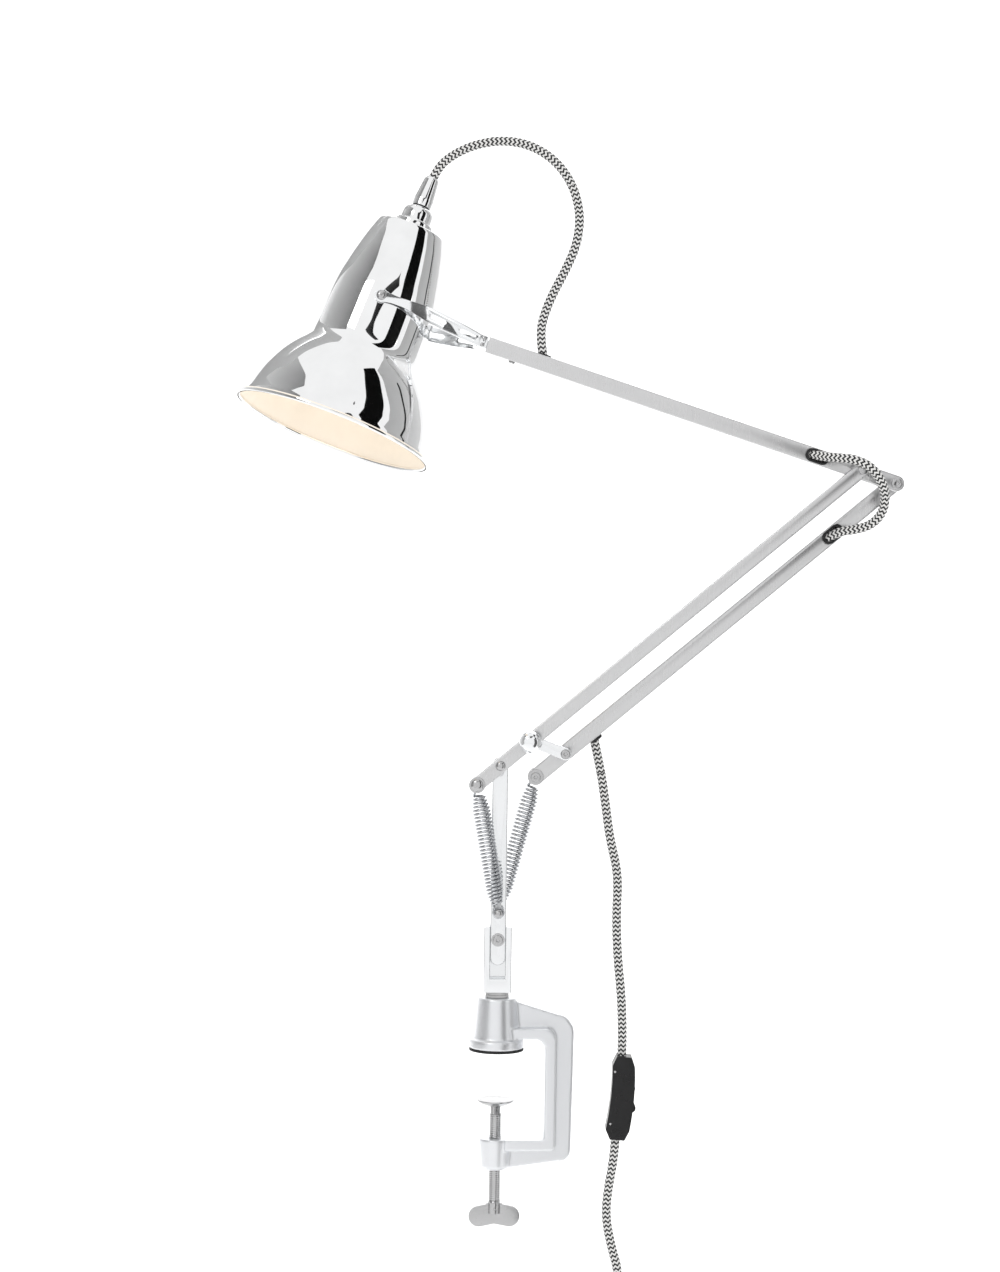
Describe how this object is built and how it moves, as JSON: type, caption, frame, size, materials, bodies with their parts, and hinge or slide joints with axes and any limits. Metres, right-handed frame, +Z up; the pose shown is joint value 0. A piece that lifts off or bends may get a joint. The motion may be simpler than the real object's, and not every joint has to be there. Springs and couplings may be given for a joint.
{
  "type": "swing arm desk lamp",
  "caption": "Balanced swing arm desk lamp with a parallelogram lower arm, paired springs, tilting bell shade, herringbone cord with inline switch, and a desk clamp.",
  "frame": {"origin": "centre of the rubber pad's underside, where the clamp stands on the desk top; the post's swivel axis passes through it", "axes": "+Z up along the post; +X from the post to the side where the lower arms lean (the elbow); +Y away from the front bar, to the rear bar"},
  "size_m": [0.486, 0.1477, 1.0321],
  "materials": {
    "cast_aluminium": "satin, lightly mottled casting",
    "rubber_black": "matte",
    "steel": "plated, semi-bright",
    "polished_aluminium": "polished",
    "nylon": "smooth",
    "spring_wire": "bright drawn wire",
    "satin_aluminium": "satin anodised",
    "chrome": "mirror plating",
    "black_plastic": "gloss black",
    "screw_brass": "bright",
    "braid": "black and white herringbone braid",
    "inner_lead": "smooth sheath",
    "bulb_metal": "rolled thread",
    "bulb_glass": "opal"
  },
  "bodies": {
    "clamp": {"clamp_frame": "cast_aluminium", "desk_pad": "rubber_black"},
    "clamp_foot": {"clamp_foot": "steel"},
    "clamp_screw": {"clamp_screw": "steel", "screw_wing": "steel", "wing_pin": "steel"},
    "swivel_post": {"swivel_bracket": "polished_aluminium", "thrust_washers": "nylon", "post": "polished_aluminium", "bracket_fasteners": "steel", "spring_anchor_pin": "steel", "main_pivot_fasteners": "steel", "front_spring": "spring_wire", "rear_spring": "spring_wire"},
    "front_lower_arm": {"front_bar": "satin_aluminium", "front_spring_pin": "steel", "link_stud": "steel", "elbow_fasteners": "steel"},
    "tension_knob": {"tension_knob": "chrome"},
    "upper_arm": {"upper_arm": "satin_aluminium", "arm_end_plug": "satin_aluminium", "yoke_grub_screw": "steel", "upper_grommet": "rubber_black", "lead_in_bush": "rubber_black", "upper_arm_lead": "inner_lead", "head_cord_arm_half": "braid", "elbow_cord_upper_half": "braid", "end_pivot_fasteners": "steel"},
    "rear_lower_arm": {"rear_bar": "satin_aluminium", "lower_grommet": "rubber_black", "outlet_bush": "rubber_black", "rear_bar_lead": "inner_lead", "elbow_cord_lower_half": "braid"},
    "rear_spring_carrier": {"rear_spring_pin": "steel"},
    "short_link": {"short_link": "polished_aluminium", "link_fasteners": "steel"},
    "mains_cord": {"mains_cord": "braid", "mains_cord_coil": "braid", "mains_cord_tail": "braid", "coil_ties": "black_plastic", "switch_front_shell": "black_plastic", "switch_back_shell": "black_plastic", "switch_screws": "screw_brass", "plug_body": "black_plastic", "plug_pins": "screw_brass"},
    "switch_rocker": {"switch_rocker": "black_plastic"},
    "yoke": {"yoke_hub": "satin_aluminium", "yoke_blade_near": "satin_aluminium", "yoke_blade_far": "satin_aluminium", "yoke_rivets": "steel"},
    "shade": {"shade": "chrome", "shade_cap": "chrome", "cord_grip": "chrome", "cord_grip_screw": "steel", "threaded_nipple": "steel", "lampholder": "black_plastic", "bulb_cap": "bulb_metal", "bulb_glass": "bulb_glass", "tilt_fasteners": "steel", "head_cord_shade_half": "braid"}
  },
  "joints": [
    {"name": "post_swivel", "type": "hinge", "parent": "clamp", "child": "swivel_post", "pos_m": [0, 0, 0.04], "axis": [0, 0, 1], "range_deg": [-170, 170]},
    {"name": "lower_arm_pivot", "type": "hinge", "parent": "swivel_post", "child": "front_lower_arm", "pos_m": [0, 0, 0.21], "axis": [0, -1, 0], "range_deg": [-16, 45], "deforming": ["front_spring", "rear_spring"]},
    {"name": "knob_turn", "type": "hinge", "parent": "front_lower_arm", "child": "tension_knob", "pos_m": [0.02139, -0.0171, 0.22807], "axis": [0, -1, 0], "range_deg": [-180, 90]},
    {"name": "upper_arm_pivot", "type": "hinge", "parent": "front_lower_arm", "child": "upper_arm", "pos_m": [0.25893, 0, 0.42881], "axis": [0, -1, 0], "range_deg": [-32, 30], "deforming": ["elbow_cord_upper_half", "elbow_cord_lower_half", "rear_spring"]},
    {"name": "rear_lower_arm_pivot", "type": "hinge", "parent": "upper_arm", "child": "rear_lower_arm", "pos_m": [0.28487, 0.01265, 0.41911], "axis": [0, -1, 0], "range_deg": [-30, 32]},
    {"name": "short_link_pivot", "type": "hinge", "parent": "front_lower_arm", "child": "short_link", "pos_m": [0.02139, 0, 0.22807], "axis": [0, -1, 0], "range_deg": [-32, 30]},
    {"name": "rear_spring_swing", "type": "hinge", "parent": "front_lower_arm", "child": "rear_spring_carrier", "pos_m": [0, 0.01265, 0.21], "axis": [0, -1, 0], "range_deg": [-32, 30]},
    {"name": "mains_cord_hang", "type": "hinge", "parent": "rear_lower_arm", "child": "mains_cord", "pos_m": [0.06944, 0.01265, 0.22939], "axis": [0, -1, 0], "range_deg": [-45, 16], "deforming": ["mains_cord"]},
    {"name": "rocker_press", "type": "hinge", "parent": "mains_cord", "child": "switch_rocker", "pos_m": [0.09918, 0.024, -0.03848], "axis": [0, 1, 0], "range_deg": [0, 12]},
    {"name": "yoke_roll", "type": "hinge", "parent": "upper_arm", "child": "yoke", "pos_m": [-0.00632, 0, 0.51316], "axis": [-0.9516, 0, 0.3074], "range_deg": [-90, 90], "deforming": ["head_cord_arm_half"]},
    {"name": "shade_tilt", "type": "hinge", "parent": "yoke", "child": "shade", "pos_m": [-0.09196, 0, 0.54082], "axis": [0.0481, -0.9877, 0.1489], "range_deg": [-40, 35], "deforming": ["head_cord_shade_half"]},
    {"name": "foot_travel", "type": "slide", "parent": "clamp", "child": "clamp_foot", "axis": [0, 0, 1], "range_m": [-0.017, 0.024]},
    {"name": "screw_turn", "type": "hinge", "parent": "clamp_foot", "child": "clamp_screw", "pos_m": [0, 0, -0.06], "axis": [0, 0, 1], "range_deg": [-4200, 5900]}
  ],
  "couplings": [
    {"joint": "rear_lower_arm_pivot", "follows": "upper_arm_pivot", "ratio": -1},
    {"joint": "short_link_pivot", "follows": "upper_arm_pivot", "ratio": 1},
    {"joint": "rear_spring_swing", "follows": "upper_arm_pivot", "ratio": 1},
    {"joint": "mains_cord_hang", "follows": "lower_arm_pivot", "ratio": -1},
    {"joint": "screw_turn", "follows": "foot_travel", "rad_per_m": 4188.8}
  ]
}
